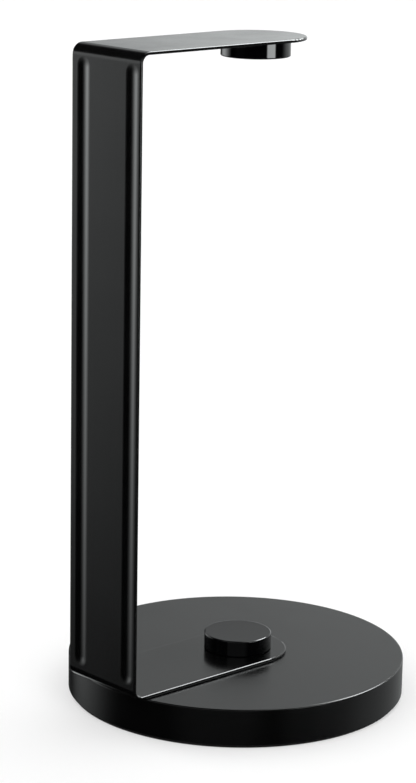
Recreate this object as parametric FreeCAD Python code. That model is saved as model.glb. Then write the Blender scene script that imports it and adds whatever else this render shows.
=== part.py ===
import FreeCAD, Part
import math
import os

# Counter-top paper towel holder: a weighted round base carries a C-shaped sheet steel bracket.
# The roll stands between two short hubs that turn freely, one on the leg and one under the arm.
# Frame: origin at the centre of the base on the resting plane, +Z up, the leg and the arm run along X,
# the upright stands at -X and Y runs across the width of the strip.

V = FreeCAD.Vector
UP = V(0, 0, 1)

# ---- driving dimensions, mm ----
OVERALL_HEIGHT = 302.0        # table to the top face of the arm
BASE_RADIUS = 77.5
BASE_HEIGHT = 18.0            # table to the top face of the base
HUB_RADIUS = 15.5
HUB_HEIGHT = 7.5              # sheet face to the outer face of a hub

STRIP_WIDTH = 45.0
SHEET = 1.5
UPRIGHT_X = -81.0             # outer face of the upright, proud of the rim of the base
BEND_OUTER = 5.0
LOWER_HUB_X = 1.0
UPPER_HUB_X = 4.5             # the arm is a little longer than the leg
EDGE_BREAK = 0.6              # rounding along the edges of the strip

BEAD_Y = (14.7, -17.1)        # bead centre lines, the pair sits a little off the middle
BEAD_HALF_WIDTH = 4.2
BEAD_DEPTH = 0.5
BEAD_LIP = 8.0                # outer radius where a bead leaves the flat face
BEAD_BOTTOM_Z = BASE_HEIGHT + 6.8
BEAD_TOP_Z = OVERALL_HEIGHT - 5.2
RIB_ROOT = 0.6                # how far a rib reaches into the sheet it is fused to
# the floor arc of a bead meets its two lip arcs tangentially
BEAD_FLOOR = (BEAD_HALF_WIDTH ** 2 + BEAD_DEPTH ** 2) / (2 * BEAD_DEPTH) - BEAD_LIP

COVER_WALL = 1.0
COVER_EDGE = 0.6              # rounding of the upper rim
SKIRT_Z = 1.6                 # lower edge of the base cover above the table

BALLAST_RADIUS = BASE_RADIUS - 3.5
BALLAST_BOTTOM = 6.5
BALLAST_TOP = BASE_HEIGHT - COVER_WALL

PAD_RADIUS = BASE_RADIUS - 1.1   # anti-slip pad under the whole base
PAD_THICK = 1.5
PAD_ROUND = 0.4
PLATE_RADIUS = BASE_RADIUS - 1.3
PLATE_TOP = 3.5

PLATE_SCREW_CIRCLE = 40.0
PLATE_SCREW_ANGLES = (90.0, 210.0, 330.0)
PLATE_BOSS_RADIUS = 7.0
SCREW_RADIUS = 2.0
CLEAR_RADIUS = 2.35
THREAD_GAP = 0.02
PAN_HEAD_RADIUS = 3.9
PAN_HEAD_HEIGHT = 2.1
PAN_POCKET_RADIUS = 4.6
PAN_SEAT_Z = 4.9
PLATE_SCREW_TIP = 11.9
PLATE_TAP_END = 12.7

STUD_X = (-56.0, -20.0)
STUD_TIP = 6.8
STUD_FOOT_RADIUS = 2.6
STUD_FOOT = 0.7
COVER_HOLE_RADIUS = 3.1
NUT_POCKET_RADIUS = 6.5
NUT_POCKET_TOP = 11.2
NUT_FLATS = 7.0
NUT_HEIGHT = 3.2
WASHER_OUTER = 4.5
WASHER_INNER = 2.3
WASHER_THICK = 0.8

SHELL_WALL = 0.85
SHELL_TOP_WALL = 0.75
SHELL_BOTTOM = 0.4
SHELL_EDGE = 0.6
CORE_FIT = 0.05               # radial gap between core and shell

# heights inside a hub, measured from the face of the sheet
BOSS_FLANGE_RADIUS = 6.5
BOSS_FLANGE = 0.8
BOSS_RADIUS = 4.0
BOSS_TOP = 4.4
GLIDE_INNER = 4.3
GLIDE_TOP = 1.25
CORE_BOTTOM = 1.35
CORE_SEAT = 4.25
CORE_TOP = 6.7
CORE_RADIUS = HUB_RADIUS - SHELL_WALL - CORE_FIT
CORE_BORE = 4.06
CORE_POCKET = 6.3
CORE_SKIRT_BOTTOM = 0.7
CORE_RECESS_OUTER = 12.6
CORE_RECESS_INNER = 7.6
CORE_RECESS_TOP = 4.6
RETAINER_RADIUS = 5.6
RETAINER_INNER = 2.3
RETAINER_TOP = 5.0
HEAD_RADIUS = 3.5
HEAD_TOP = 6.4
DRIVE_DEPTH = 1.0
DRIVE_LENGTH = 4.0
DRIVE_WIDTH = 0.8
HUB_SCREW_END = 0.9


def save(node, shape):
    shape.exportStep(os.path.join("parts", node + ".step"))


def cylinder(radius, bottom, top, x=0.0, y=0.0):
    return Part.makeCylinder(radius, top - bottom, V(x, y, bottom), UP)


def ring(outer, inner, bottom, top, x=0.0, y=0.0):
    return cylinder(outer, bottom, top, x, y).cut(cylinder(inner, bottom - 1.0, top + 1.0, x, y))


def spin(points):
    """Solid of revolution about Z from a closed outline of (radius, height) pairs."""
    outline = Part.makePolygon([V(r, 0, z) for r, z in points + points[:1]])
    return Part.Face(outline).revolve(V(0, 0, 0), UP, 360)


def round_circles(shape, radius, wanted):
    """Fillet the full circular edges whose (radius, height) is listed in wanted."""
    edges = []
    for edge in shape.Edges:
        if edge.Curve.TypeId != "Part::GeomCircle" or not edge.Closed:
            continue
        for r, z in wanted:
            if abs(edge.Curve.Radius - r) < 1e-4 and abs(edge.Curve.Center.z - z) < 1e-4:
                edges.append(edge)
    return shape.makeFillet(radius, edges)


def cross_recess(z, depth, x=0.0, y=0.0, facing_up=True):
    """Cross-shaped driver recess sunk by depth below the face at height z."""
    start = z - depth if facing_up else z - 1.0
    tall = depth + 1.0
    long_half = DRIVE_LENGTH / 2
    slim_half = DRIVE_WIDTH / 2
    bar = Part.makeBox(DRIVE_LENGTH, DRIVE_WIDTH, tall, V(x - long_half, y - slim_half, start))
    cross_bar = Part.makeBox(DRIVE_WIDTH, DRIVE_LENGTH, tall, V(x - slim_half, y - long_half, start))
    return bar.fuse(cross_bar)


# ---- bracket: one strip of sheet steel, bent twice, with two pressed stiffening beads ----

def strip_blank():
    leg_end = LOWER_HUB_X + STRIP_WIDTH / 2
    arm_end = UPPER_HUB_X + STRIP_WIDTH / 2
    bend_x = UPRIGHT_X + BEND_OUTER
    low = BASE_HEIGHT + BEND_OUTER
    high = OVERALL_HEIGHT - BEND_OUTER
    turn = math.sqrt(0.5)
    inner = BEND_OUTER - SHEET
    side = -STRIP_WIDTH / 2

    def at(x, z):
        return V(x, side, z)

    def line(a, b):
        return Part.LineSegment(a, b).toShape()

    def bend(start, radius, centre_z, direction, end):
        middle = at(bend_x - radius * turn, centre_z + direction * radius * turn)
        return Part.Arc(start, middle, end).toShape()

    p1 = at(leg_end, BASE_HEIGHT)
    p2 = at(bend_x, BASE_HEIGHT)
    p3 = at(UPRIGHT_X, low)
    p4 = at(UPRIGHT_X, high)
    p5 = at(bend_x, OVERALL_HEIGHT)
    p6 = at(arm_end, OVERALL_HEIGHT)
    p7 = at(arm_end, OVERALL_HEIGHT - SHEET)
    p8 = at(bend_x, OVERALL_HEIGHT - SHEET)
    p9 = at(UPRIGHT_X + SHEET, high)
    p10 = at(UPRIGHT_X + SHEET, low)
    p11 = at(bend_x, BASE_HEIGHT + SHEET)
    p12 = at(leg_end, BASE_HEIGHT + SHEET)
    edges = [
        line(p1, p2),
        bend(p2, BEND_OUTER, low, -1, p3),
        line(p3, p4),
        bend(p4, BEND_OUTER, high, 1, p5),
        line(p5, p6),
        line(p6, p7),
        line(p7, p8),
        bend(p8, inner, high, 1, p9),
        line(p9, p10),
        bend(p10, inner, low, -1, p11),
        line(p11, p12),
        line(p12, p1),
    ]
    return Part.Face(Part.Wire(edges)).extrude(V(0, STRIP_WIDTH, 0))


def round_end(shape, centre_x, z):
    """Trim the free end of a flat leg to a half circle about the hub centre."""
    half = STRIP_WIDTH / 2
    corner = Part.makeBox(half + 1, STRIP_WIDTH + 2, SHEET + 2, V(centre_x, -half - 1, z - 1))
    return shape.cut(corner.cut(cylinder(half, z - 2, z + SHEET + 2, centre_x)))


def bead_outline(lip, floor, flat, back):
    """Closed outline across a bead: depth along X, width along Y, centred on the origin.

    Two lip arcs and the floor arc meet tangentially; flat is the depth of the sheet face
    they start from and back closes the outline behind it.
    """
    reach = BEAD_LIP + BEAD_FLOOR
    slope = math.asin(BEAD_HALF_WIDTH / reach)
    a = BEAD_HALF_WIDTH

    def lip_point(angle, sign):
        return V(BEAD_LIP - lip * math.cos(angle), sign * (a - lip * math.sin(angle)), 0)

    def floor_point(angle):
        return V(BEAD_DEPTH - BEAD_FLOOR + floor * math.cos(angle), floor * math.sin(angle), 0)

    start = V(flat, -a, 0)
    join_low = lip_point(slope, -1)
    join_high = lip_point(slope, 1)
    end = V(flat, a, 0)
    return [
        Part.Arc(start, lip_point(slope / 2, -1), join_low).toShape(),
        Part.Arc(join_low, floor_point(0.0), join_high).toShape(),
        Part.Arc(join_high, lip_point(slope / 2, 1), end).toShape(),
        Part.LineSegment(end, V(back, a, 0)).toShape(),
        Part.LineSegment(V(back, a, 0), V(back, -a, 0)).toShape(),
        Part.LineSegment(V(back, -a, 0), start).toShape(),
    ]


def bead_tool(lip, floor, flat, back, y):
    """Bead swept along the upright, its two ends turned off to domes."""
    outline = Part.Face(Part.Wire(bead_outline(lip, floor, flat, back)))
    base = V(UPRIGHT_X, y, 0)
    outline.translate(base)
    bottom = BEAD_BOTTOM_Z + BEAD_HALF_WIDTH
    top = BEAD_TOP_Z - BEAD_HALF_WIDTH
    straight = outline.copy()
    straight.translate(V(0, 0, bottom))
    body = straight.extrude(V(0, 0, top - bottom))
    half_plane = Part.makeBox(20, 20, 2, V(UPRIGHT_X - 10, y, -1))
    half_outline = outline.common(half_plane)
    for z in (bottom, top):
        half = half_outline.copy()
        half.translate(V(0, 0, z))
        dome = half.Faces[0].revolve(V(UPRIGHT_X, y, z), V(1, 0, 0), 360)
        body = body.fuse(dome)
    return body


def make_bracket():
    strip = strip_blank()
    strip = round_end(strip, LOWER_HUB_X, BASE_HEIGHT)
    strip = round_end(strip, UPPER_HUB_X, OVERALL_HEIGHT - SHEET)
    edges = []
    half = STRIP_WIDTH / 2
    for edge in strip.Edges:
        middle = edge.valueAt((edge.FirstParameter + edge.LastParameter) / 2)
        box = edge.BoundBox
        through_sheet = box.YLength < 1e-6 and edge.Length < SHEET + 1e-6
        on_side = box.YLength < 1e-6 and abs(abs(middle.y) - half) < 1e-6
        on_end = box.ZLength < 1e-6 and box.YLength > half
        round_tip = on_end and edge.Curve.TypeId == "Part::GeomCircle"
        if (on_side and not through_sheet) or round_tip:
            edges.append(edge)
    strip = strip.makeFillet(EDGE_BREAK, edges)
    for y in BEAD_Y:
        rib = bead_tool(BEAD_LIP - SHEET, BEAD_FLOOR + SHEET, SHEET, SHEET - RIB_ROOT, y)
        strip = strip.fuse(rib)
        strip = strip.cut(bead_tool(BEAD_LIP, BEAD_FLOOR, 0.0, -SHEET, y))
    return strip.removeSplitter()


# ---- weighted base ----

def make_base_cover():
    cup = cylinder(BASE_RADIUS, SKIRT_Z, BASE_HEIGHT)
    cup = round_circles(cup, COVER_EDGE, [(BASE_RADIUS, BASE_HEIGHT)])
    inner = BASE_RADIUS - COVER_WALL
    cup = cup.cut(cylinder(inner, SKIRT_Z - 1, BALLAST_TOP))
    for x in STUD_X:
        cup = cup.cut(cylinder(COVER_HOLE_RADIUS, BALLAST_TOP - 1, BASE_HEIGHT + 1, x))
    return cup


def plate_screw_places():
    places = []
    for angle in PLATE_SCREW_ANGLES:
        turn = math.radians(angle)
        places.append((PLATE_SCREW_CIRCLE * math.cos(turn), PLATE_SCREW_CIRCLE * math.sin(turn)))
    return places


def make_ballast():
    disc = cylinder(BALLAST_RADIUS, BALLAST_BOTTOM, BALLAST_TOP)
    rims = [(BALLAST_RADIUS, BALLAST_BOTTOM), (BALLAST_RADIUS, BALLAST_TOP)]
    disc = round_circles(disc, 1.0, rims)
    for x in STUD_X:
        disc = disc.cut(cylinder(CLEAR_RADIUS, BALLAST_BOTTOM - 1, BALLAST_TOP + 1, x))
        disc = disc.cut(cylinder(NUT_POCKET_RADIUS, BALLAST_BOTTOM - 1, NUT_POCKET_TOP, x))
        disc = disc.cut(cylinder(COVER_HOLE_RADIUS, BALLAST_TOP - 1, BALLAST_TOP + 1, x))
    for x, y in plate_screw_places():
        disc = disc.cut(cylinder(SCREW_RADIUS + THREAD_GAP, BALLAST_BOTTOM - 1, PLATE_TAP_END, x, y))
    return disc


def make_base_plate():
    plate = cylinder(PLATE_RADIUS, PAD_THICK, PLATE_TOP)
    for x, y in plate_screw_places():
        plate = plate.fuse(cylinder(PLATE_BOSS_RADIUS, PLATE_TOP - 0.5, BALLAST_BOTTOM, x, y))
        plate = plate.cut(cylinder(PAN_POCKET_RADIUS, PAD_THICK - 1, PAN_SEAT_Z, x, y))
        plate = plate.cut(cylinder(CLEAR_RADIUS, PAD_THICK - 1, BALLAST_BOTTOM + 1, x, y))
    return plate.removeSplitter()


def make_foot_pad():
    pad = cylinder(PAD_RADIUS, 0.0, PAD_THICK)
    return round_circles(pad, PAD_ROUND, [(PAD_RADIUS, 0.0)])


def make_plate_screws():
    screws = []
    head_bottom = PAN_SEAT_Z - PAN_HEAD_HEIGHT
    for x, y in plate_screw_places():
        head = cylinder(PAN_HEAD_RADIUS, head_bottom, PAN_SEAT_Z, x, y)
        head = round_circles(head, 0.7, [(PAN_HEAD_RADIUS, head_bottom)])
        screw = head.fuse(cylinder(SCREW_RADIUS, PAN_SEAT_Z - 0.5, PLATE_SCREW_TIP, x, y))
        screw = screw.cut(cross_recess(head_bottom, DRIVE_DEPTH, x, y, facing_up=False))
        screws.append(screw.removeSplitter())
    return Part.makeCompound(screws)


def make_leg_studs():
    studs = []
    for x in STUD_X:
        stud = cylinder(SCREW_RADIUS, STUD_TIP, BASE_HEIGHT, x)
        foot = cylinder(STUD_FOOT_RADIUS, BASE_HEIGHT - STUD_FOOT, BASE_HEIGHT, x)
        studs.append(stud.fuse(foot).removeSplitter())
    return Part.makeCompound(studs)


def make_leg_washers():
    top = NUT_POCKET_TOP
    return Part.makeCompound([ring(WASHER_OUTER, WASHER_INNER, top - WASHER_THICK, top, x) for x in STUD_X])


def make_leg_nuts():
    nuts = []
    top = NUT_POCKET_TOP - WASHER_THICK
    bottom = top - NUT_HEIGHT
    corner = NUT_FLATS / math.sqrt(3)
    for x in STUD_X:
        points = []
        for i in range(7):
            turn = math.radians(60 * i)
            points.append(V(x + corner * math.cos(turn), corner * math.sin(turn), bottom))
        nut = Part.Face(Part.makePolygon(points)).extrude(V(0, 0, NUT_HEIGHT))
        nuts.append(nut.cut(cylinder(SCREW_RADIUS + THREAD_GAP, bottom - 1, top + 1, x)))
    return Part.makeCompound(nuts)


# ---- hubs: drawn at the origin with the sheet face at z = 0 and the hub standing on it ----

def hub_boss():
    boss = cylinder(BOSS_FLANGE_RADIUS, 0.0, BOSS_FLANGE).fuse(cylinder(BOSS_RADIUS, 0.0, BOSS_TOP))
    return boss.cut(cylinder(SCREW_RADIUS + THREAD_GAP, 0.6, BOSS_TOP + 1)).removeSplitter()


def hub_glide():
    return ring(BOSS_FLANGE_RADIUS, GLIDE_INNER, BOSS_FLANGE, GLIDE_TOP)


def hub_core():
    core = spin([
        (CORE_BORE, CORE_BOTTOM),
        (CORE_RECESS_INNER, CORE_BOTTOM),
        (CORE_RECESS_INNER, CORE_RECESS_TOP),
        (CORE_RECESS_OUTER, CORE_RECESS_TOP),
        (CORE_RECESS_OUTER, CORE_SKIRT_BOTTOM),
        (CORE_RADIUS, CORE_SKIRT_BOTTOM),
        (CORE_RADIUS, CORE_TOP),
        (CORE_POCKET, CORE_TOP),
        (CORE_POCKET, CORE_SEAT),
        (CORE_BORE, CORE_SEAT),
    ])
    return round_circles(core, 0.5, [(CORE_RADIUS, CORE_TOP)])


def hub_retainer():
    return ring(RETAINER_RADIUS, RETAINER_INNER, BOSS_TOP, RETAINER_TOP)


def hub_screw():
    head = cylinder(HEAD_RADIUS, RETAINER_TOP, HEAD_TOP)
    head = round_circles(head, 0.4, [(HEAD_RADIUS, HEAD_TOP)])
    screw = head.fuse(cylinder(SCREW_RADIUS, HUB_SCREW_END, RETAINER_TOP + 0.4))
    return screw.cut(cross_recess(HEAD_TOP, DRIVE_DEPTH)).removeSplitter()


def hub_shell():
    inner = HUB_RADIUS - SHELL_WALL
    shell = cylinder(HUB_RADIUS, SHELL_BOTTOM, HUB_HEIGHT)
    shell = round_circles(shell, SHELL_EDGE, [(HUB_RADIUS, HUB_HEIGHT)])
    return shell.cut(cylinder(inner, SHELL_BOTTOM - 1, HUB_HEIGHT - SHELL_TOP_WALL))


def place_on_leg(shape):
    placed = shape.copy()
    placed.translate(V(LOWER_HUB_X, 0, BASE_HEIGHT + SHEET))
    return placed


def place_under_arm(shape):
    placed = shape.copy()
    placed.rotate(V(0, 0, 0), V(1, 0, 0), 180)
    placed.translate(V(UPPER_HUB_X, 0, OVERALL_HEIGHT - SHEET))
    return placed


os.makedirs("parts", exist_ok=True)

save("base_cover", make_base_cover())
save("ballast", make_ballast())
save("base_plate", make_base_plate())
save("foot_pad", make_foot_pad())
save("plate_screws", make_plate_screws())
save("bracket", make_bracket())
save("leg_studs", make_leg_studs())
save("leg_washers", make_leg_washers())
save("leg_nuts", make_leg_nuts())

HUB_PIECES = {
    "boss": hub_boss(),
    "glide": hub_glide(),
    "core": hub_core(),
    "retainer": hub_retainer(),
    "screw": hub_screw(),
    "shell": hub_shell(),
}
for piece, shape in HUB_PIECES.items():
    save("lower_hub_" + piece, place_on_leg(shape))
    save("upper_hub_" + piece, place_under_arm(shape))
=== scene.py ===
import math

import bpy
from mathutils import Matrix, Vector

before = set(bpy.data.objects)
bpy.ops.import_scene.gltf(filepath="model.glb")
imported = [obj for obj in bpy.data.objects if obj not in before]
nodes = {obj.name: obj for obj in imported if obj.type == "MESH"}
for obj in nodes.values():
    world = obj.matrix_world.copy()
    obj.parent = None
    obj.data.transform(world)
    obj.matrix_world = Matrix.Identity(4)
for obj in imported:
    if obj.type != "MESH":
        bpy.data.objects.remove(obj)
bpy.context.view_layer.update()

# ---------------------------------------------------------------- node helpers

RAMP_START, RAMP_END = 0.3, 0.7  # the part of a noise's range that holds nearly all of its values
NOISE_ROUGHNESS = 0.55


def wire(tree, source, target):
    tree.links.new(source, target)


def new_tree(name):
    """New material that holds a Principled shader and nothing else, its tree and that shader."""
    mat = bpy.data.materials.new(name)
    mat.use_nodes = True
    tree = mat.node_tree
    tree.nodes.clear()
    out = tree.nodes.new("ShaderNodeOutputMaterial")
    shader = tree.nodes.new("ShaderNodeBsdfPrincipled")
    wire(tree, shader.outputs["BSDF"], out.inputs["Surface"])
    return mat, tree, shader


def object_coords(tree):
    return tree.nodes.new("ShaderNodeTexCoord").outputs["Object"]


def noise(tree, vector, scale, detail):
    node = tree.nodes.new("ShaderNodeTexNoise")
    node.inputs["Scale"].default_value = scale
    node.inputs["Detail"].default_value = detail
    node.inputs["Roughness"].default_value = NOISE_ROUGHNESS
    wire(tree, vector, node.inputs["Vector"])
    return node.outputs["Fac"]


def ramp_value(tree, source, low, high):
    node = tree.nodes.new("ShaderNodeMapRange")
    node.interpolation_type = "SMOOTHSTEP"
    node.inputs["From Min"].default_value = RAMP_START
    node.inputs["From Max"].default_value = RAMP_END
    node.inputs["To Min"].default_value = low
    node.inputs["To Max"].default_value = high
    wire(tree, source, node.inputs["Value"])
    return node.outputs["Result"]


def ramp_colour(tree, source, dark, light):
    node = tree.nodes.new("ShaderNodeValToRGB")
    node.color_ramp.elements[0].position = RAMP_START
    node.color_ramp.elements[0].color = (*dark, 1)
    node.color_ramp.elements[1].position = RAMP_END
    node.color_ramp.elements[1].color = (*light, 1)
    wire(tree, source, node.inputs["Fac"])
    return node.outputs["Color"]


def bump(tree, height, distance, strength, below=None):
    node = tree.nodes.new("ShaderNodeBump")
    node.inputs["Strength"].default_value = strength
    node.inputs["Distance"].default_value = distance
    wire(tree, height, node.inputs["Height"])
    if below is not None:
        wire(tree, below, node.inputs["Normal"])
    return node.outputs["Normal"]


# ---------------------------------------------------------------- materials
# Noise scales are in cells per metre and depths in metres.

PAINT_IOR, PLASTIC_IOR = 1.5, 1.49
PAINT_CLOUD, PAINT_DUST = 35.0, 900.0
DUST_SHARE = 0.15  # depth of the dust grain as a share of the orange peel
PLASTIC_CLOUD, PLASTIC_DEPTH = 60.0, 0.00004
METAL_STAIN, METAL_DEPTH = 160.0, 0.00003


def enamel(name, dark, light, rough_low, rough_high, peel_scale, peel_depth):
    """Black stoved paint: faint orange peel and a slow change of gloss."""
    mat, tree, shader = new_tree(name)
    coords = object_coords(tree)
    shader.inputs["IOR"].default_value = PAINT_IOR
    cloud = noise(tree, coords, PAINT_CLOUD, 4.0)
    dust = noise(tree, coords, PAINT_DUST, 2.0)
    peel = noise(tree, coords, peel_scale, 1.0)
    wire(tree, ramp_colour(tree, cloud, dark, light), shader.inputs["Base Color"])
    wire(tree, ramp_value(tree, cloud, rough_low, rough_high), shader.inputs["Roughness"])
    soft = bump(tree, peel, peel_depth, 1.0)
    wire(tree, bump(tree, dust, peel_depth * DUST_SHARE, 0.6, soft), shader.inputs["Normal"])
    return mat


def plastic(name, dark, light, rough_low, rough_high, grain):
    """Moulded plastic or foam: an even colour under a fine grain."""
    mat, tree, shader = new_tree(name)
    coords = object_coords(tree)
    shader.inputs["IOR"].default_value = PLASTIC_IOR
    grains = noise(tree, coords, grain, 3.0)
    cloud = noise(tree, coords, PLASTIC_CLOUD, 3.0)
    wire(tree, ramp_colour(tree, cloud, dark, light), shader.inputs["Base Color"])
    wire(tree, ramp_value(tree, grains, rough_low, rough_high), shader.inputs["Roughness"])
    wire(tree, bump(tree, grains, PLASTIC_DEPTH, 0.7), shader.inputs["Normal"])
    return mat


def metal(name, dark, light, rough_low, rough_high, grain):
    """Bare or plated metal: slight stains and a fine grain."""
    mat, tree, shader = new_tree(name)
    coords = object_coords(tree)
    shader.inputs["Metallic"].default_value = 1.0
    stain = noise(tree, coords, METAL_STAIN, 4.0)
    grains = noise(tree, coords, grain, 2.0)
    wire(tree, ramp_colour(tree, stain, dark, light), shader.inputs["Base Color"])
    wire(tree, ramp_value(tree, grains, rough_low, rough_high), shader.inputs["Roughness"])
    wire(tree, bump(tree, grains, METAL_DEPTH, 0.5), shader.inputs["Normal"])
    return mat


bracket_paint = enamel(
    "bracket_enamel", (0.0006, 0.0006, 0.0007), (0.0011, 0.0011, 0.0012), 0.16, 0.20,
    peel_scale=260.0, peel_depth=0.000004,
)
cover_paint = enamel(
    "base_enamel", (0.0005, 0.0005, 0.0006), (0.0009, 0.0009, 0.0010), 0.20, 0.24,
    peel_scale=300.0, peel_depth=0.000004,
)
hub_gloss = enamel(
    "hub_gloss_enamel", (0.0008, 0.0008, 0.0011), (0.0012, 0.0012, 0.0016), 0.05, 0.08,
    peel_scale=240.0, peel_depth=0.000001,
)
pad_foam = plastic("pad_foam", (0.003, 0.003, 0.003), (0.007, 0.007, 0.007), 0.75, 0.95, 2500.0)
plate_plastic = plastic(
    "plate_plastic", (0.008, 0.008, 0.009), (0.016, 0.016, 0.017), 0.45, 0.6, 1500.0
)
acetal = plastic("acetal", (0.62, 0.61, 0.57), (0.72, 0.71, 0.67), 0.35, 0.5, 900.0)
iron = metal("ballast_iron", (0.10, 0.095, 0.09), (0.19, 0.18, 0.17), 0.55, 0.75, 900.0)
zinc = metal("bright_zinc", (0.56, 0.57, 0.58), (0.68, 0.69, 0.70), 0.22, 0.34, 1200.0)
stud_steel = metal("stud_steel", (0.44, 0.37, 0.33), (0.55, 0.48, 0.43), 0.3, 0.42, 1200.0)

FINISH = {
    "bracket": bracket_paint,
    "base_cover": cover_paint,
    "foot_pad": pad_foam,
    "base_plate": plate_plastic,
    "ballast": iron,
    "plate_screws": zinc,
    "leg_studs": stud_steel,
    "leg_washers": zinc,
    "leg_nuts": zinc,
}
for side in ("lower", "upper"):
    FINISH[side + "_hub_shell"] = hub_gloss
    FINISH[side + "_hub_core"] = acetal
    FINISH[side + "_hub_glide"] = acetal
    FINISH[side + "_hub_boss"] = stud_steel
    FINISH[side + "_hub_retainer"] = zinc
    FINISH[side + "_hub_screw"] = zinc
for name, obj in nodes.items():
    for material_slot in obj.material_slots:
        material_slot.material = FINISH[name]

# ---------------------------------------------------------------- shading at the bead ends
# Each pressed dome closes to a point, its pole. There the CAD mesh has a triangle with no width,
# doubled vertices and normals that lean over, and all of it would show as a dark dot.

POLES = "poles"
SLIVER = 1e-10  # square metres, the area of a triangle with no width
POLE_REACH = 0.00002
POLE_LEAN = math.radians(30)  # a normal that leans more than this is wrong on level faces
POLE_FLATNESS = math.radians(15)


def pole_vertices(mesh):
    """Vertices where level faces meet under a leaning normal, with the doubles at the same place."""
    around = {}
    for face in mesh.polygons:
        if face.area < SLIVER:
            continue
        for corner in face.loop_indices:
            shade = mesh.corner_normals[corner].vector
            vertex = mesh.loops[corner].vertex_index
            around.setdefault(vertex, []).append((face.normal, shade))
    places = [
        mesh.vertices[vertex].co.copy() for vertex, pairs in around.items()
        if all(pairs[0][0].angle(normal, 0.0) < POLE_FLATNESS for normal, shade in pairs)
        and any(normal.angle(shade, 0.0) > POLE_LEAN for normal, shade in pairs)
    ]
    return [
        vertex.index for vertex in mesh.vertices
        if any((vertex.co - place).length < POLE_REACH for place in places)
    ]


def weld_group():
    """Geometry nodes that merge the doubled vertices of the vertex group POLES."""
    group = bpy.data.node_groups.new("weld_poles", "GeometryNodeTree")
    for in_out in ("INPUT", "OUTPUT"):
        group.interface.new_socket(
            name="Geometry", in_out=in_out, socket_type="NodeSocketGeometry"
        )
    chosen = group.nodes.new("GeometryNodeInputNamedAttribute")
    chosen.data_type = "FLOAT"
    chosen.inputs["Name"].default_value = POLES
    weld = group.nodes.new("GeometryNodeMergeByDistance")
    weld.inputs["Distance"].default_value = POLE_REACH
    wire(group, group.nodes.new("NodeGroupInput").outputs[0], weld.inputs["Geometry"])
    wire(group, chosen.outputs["Attribute"], weld.inputs["Selection"])
    wire(group, weld.outputs["Geometry"], group.nodes.new("NodeGroupOutput").inputs[0])
    return group


def even_out_poles(obj):
    """Weld each pole and shade it from the faces round it, with modifiers only."""
    obj.vertex_groups.new(name=POLES).add(pole_vertices(obj.data), 1.0, "REPLACE")
    obj.modifiers.new("weld_poles", "NODES").node_group = weld_group()
    evener = obj.modifiers.new("even_out_poles", "WEIGHTED_NORMAL")
    evener.mode = "FACE_AREA_WITH_ANGLE"
    evener.vertex_group = POLES


even_out_poles(nodes["bracket"])

# ---------------------------------------------------------------- floor

FLOOR_REACH = 6.0
FLOOR_DARK, FLOOR_LIGHT = (0.52,) * 3, (0.54,) * 3
FLOOR_GLOW = 0.45

floor_mesh = bpy.data.meshes.new("floor")
floor_mesh.from_pydata(
    [(x * FLOOR_REACH, y * FLOOR_REACH, 0) for x, y in ((-1, -1), (1, -1), (1, 1), (-1, 1))],
    [],
    [(0, 1, 2, 3)],
)
floor = bpy.data.objects.new("floor", floor_mesh)
bpy.context.scene.collection.objects.link(floor)
floor_mat, floor_tree, floor_shader = new_tree("floor_pale")
floor_cloud = noise(floor_tree, object_coords(floor_tree), 3.0, 2.0)
floor_colour = ramp_colour(floor_tree, floor_cloud, FLOOR_DARK, FLOOR_LIGHT)
wire(floor_tree, floor_colour, floor_shader.inputs["Base Color"])
floor_shader.inputs["Roughness"].default_value = 0.9
floor_shader.inputs["Specular IOR Level"].default_value = 0.1
floor_shader.inputs["Emission Color"].default_value = (1, 1, 1, 1)
floor_shader.inputs["Emission Strength"].default_value = FLOOR_GLOW
floor_mesh.materials.append(floor_mat)
floor.visible_glossy = False

# ---------------------------------------------------------------- studio
# Glossy rays see the cards of the studio and all other rays a soft white dome. Azimuth is measured
# about Z from +X and elevation from the horizon, both in degrees.

DOME_STRENGTH = 1.12
DARK_ROOM = 0.005  # what glossy rays see between the cards
STUDIO_TINT = (0.965, 1.0, 1.0, 1)

world = bpy.data.worlds.new("studio")
bpy.context.scene.world = world
world.use_nodes = True
wt = world.node_tree
wt.nodes.clear()


def math_node(operation, a, b=None):
    node = wt.nodes.new("ShaderNodeMath")
    node.operation = operation
    for socket, value in zip(node.inputs, (a, b)):
        if value is None:
            continue
        if isinstance(value, (int, float)):
            socket.default_value = value
        else:
            wire(wt, value, socket)
    return node.outputs["Value"]


def times(*values):
    product = values[0]
    for value in values[1:]:
        product = math_node("MULTIPLY", product, value)
    return product


def fade(value, zero, one, shape="SMOOTHSTEP"):
    """0 at zero and 1 at one, whichever is larger."""
    node = wt.nodes.new("ShaderNodeMapRange")
    node.interpolation_type = shape
    node.inputs["From Min"].default_value = min(zero, one)
    node.inputs["From Max"].default_value = max(zero, one)
    node.inputs["To Min"].default_value = 0.0 if zero < one else 1.0
    node.inputs["To Max"].default_value = 1.0 if zero < one else 0.0
    wire(wt, value, node.inputs["Value"])
    return node.outputs["Result"]


split = wt.nodes.new("ShaderNodeSeparateXYZ")
wire(wt, wt.nodes.new("ShaderNodeTexCoord").outputs["Generated"], split.inputs["Vector"])
elevation = times(math_node("ARCSINE", split.outputs["Z"]), 180 / math.pi)


def azimuth_about(centre):
    """Azimuth in degrees measured from centre, so that a card never straddles the seam."""
    turn = math.radians(centre)
    along = math_node("ADD", times(split.outputs["X"], math.cos(turn)),
                      times(split.outputs["Y"], math.sin(turn)))
    across = math_node("SUBTRACT", times(split.outputs["Y"], math.cos(turn)),
                       times(split.outputs["X"], math.sin(turn)))
    return times(math_node("ARCTAN2", across, along), 180 / math.pi)


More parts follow.
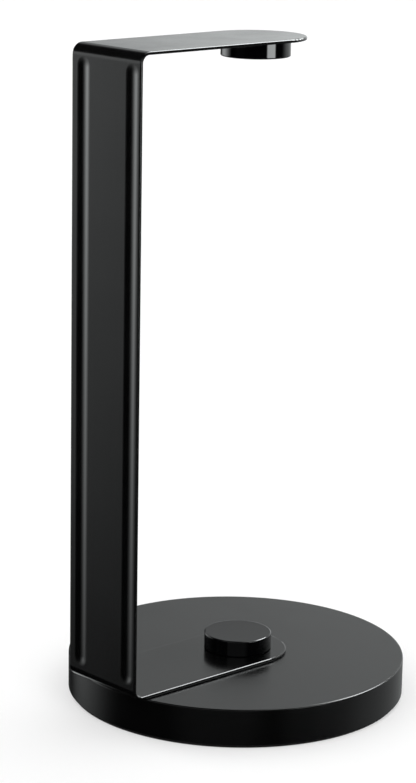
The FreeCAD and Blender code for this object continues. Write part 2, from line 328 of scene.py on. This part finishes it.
def card(centre, azimuths, elevations, radiance):
    """Soft-edged card: four azimuths about centre and four elevations (zero, one, one, zero)."""
    turn = azimuth_about(centre)
    a0, a1, a2, a3 = azimuths
    e0, e1, e2, e3 = elevations
    return times(fade(turn, a0, a1), fade(turn, a3, a2), fade(elevation, e0, e1, "LINEAR"),
                 fade(elevation, e3, e2), radiance)


cards = [
    # tall card to the left: fades out slowly towards the camera and towards the floor
    card(104, (-32, 2, 4, 38), (-22.8, 4, 8, 15), 4.1),
    # tall card to the right
    card(-79, (-18, -13, 10, 16), (-10, -7.5, -3, 1), 8.0),
    # low glow behind the stand, seen in every level face
    card(20, (-60, -30, 18, 44), (-12, -2, 8, 24), 1.3),
    # dimmer wall above it
    card(35, (-60, -35, 20, 45), (18, 22, 30, 40), 0.66),
    # high card at the back right: the light line along edges that face up and to the right
    card(-12, (-48, -34, 34, 44), (33, 37, 50, 56), 17.0),
    # faint ceiling
    card(-30, (-60, -40, 50, 72), (50, 58, 74, 86), 3.0),
    # floor bounce behind
    card(10, (-90, -40, 35, 60), (-40, -26, -14, -6), 0.3),
    # white floor mirrored in the underside of the lower bend
    card(64, (-26, -16, 10, 22), (-62, -52, -32, -25), 1.0),
    # faint low band in front, mirrored in the upright when it is seen from the far side
    card(-138, (-42, -26, 12, 34), (-19, -16.5, -11.5, -9), 0.34),
    # dim wall behind the camera
    card(-152, (-60, -40, 40, 60), (2, 10, 28, 45), 0.45),
]
total = DARK_ROOM
for lit in cards:
    total = math_node("ADD", lit, total)

studio_shader = wt.nodes.new("ShaderNodeBackground")
studio_shader.inputs["Color"].default_value = STUDIO_TINT
wire(wt, total, studio_shader.inputs["Strength"])
dome_shader = wt.nodes.new("ShaderNodeBackground")
dome_shader.inputs["Color"].default_value = (1, 1, 1, 1)
dome_shader.inputs["Strength"].default_value = DOME_STRENGTH
path = wt.nodes.new("ShaderNodeLightPath")
mix = wt.nodes.new("ShaderNodeMixShader")
wire(wt, path.outputs["Is Glossy Ray"], mix.inputs["Fac"])
wire(wt, dome_shader.outputs["Background"], mix.inputs[1])
wire(wt, studio_shader.outputs["Background"], mix.inputs[2])
world_out = wt.nodes.new("ShaderNodeOutputWorld")
wire(wt, mix.outputs["Shader"], world_out.inputs["Surface"])

# ---------------------------------------------------------------- camera

CAMERA_AT = Vector((-0.764994, -0.821927, 0.421778))
YAW, PITCH, ROLL = math.radians(-42.1805), math.radians(14.0287), math.radians(1.0070)
SENSOR_MM = 36.0  # along the picture's height
LENS_MM = 117.542

look = Vector((-math.sin(YAW) * math.cos(PITCH), math.cos(YAW) * math.cos(PITCH), -math.sin(PITCH)))
level = Vector((math.cos(YAW), math.sin(YAW), 0))
upward = level.cross(look)
right = level * math.cos(ROLL) + upward * math.sin(ROLL)
up = upward * math.cos(ROLL) - level * math.sin(ROLL)
camera_data = bpy.data.cameras.new("camera")
camera_data.sensor_width = SENSOR_MM
camera_data.lens = LENS_MM
camera_data.clip_start = 0.05
camera_data.clip_end = 50
camera = bpy.data.objects.new("camera", camera_data)
bpy.context.scene.collection.objects.link(camera)
facing = Matrix((right, up, -look)).transposed()
camera.matrix_world = Matrix.Translation(CAMERA_AT) @ facing.to_4x4()
bpy.context.scene.camera = camera
bpy.context.scene.view_settings.view_transform = "Standard"
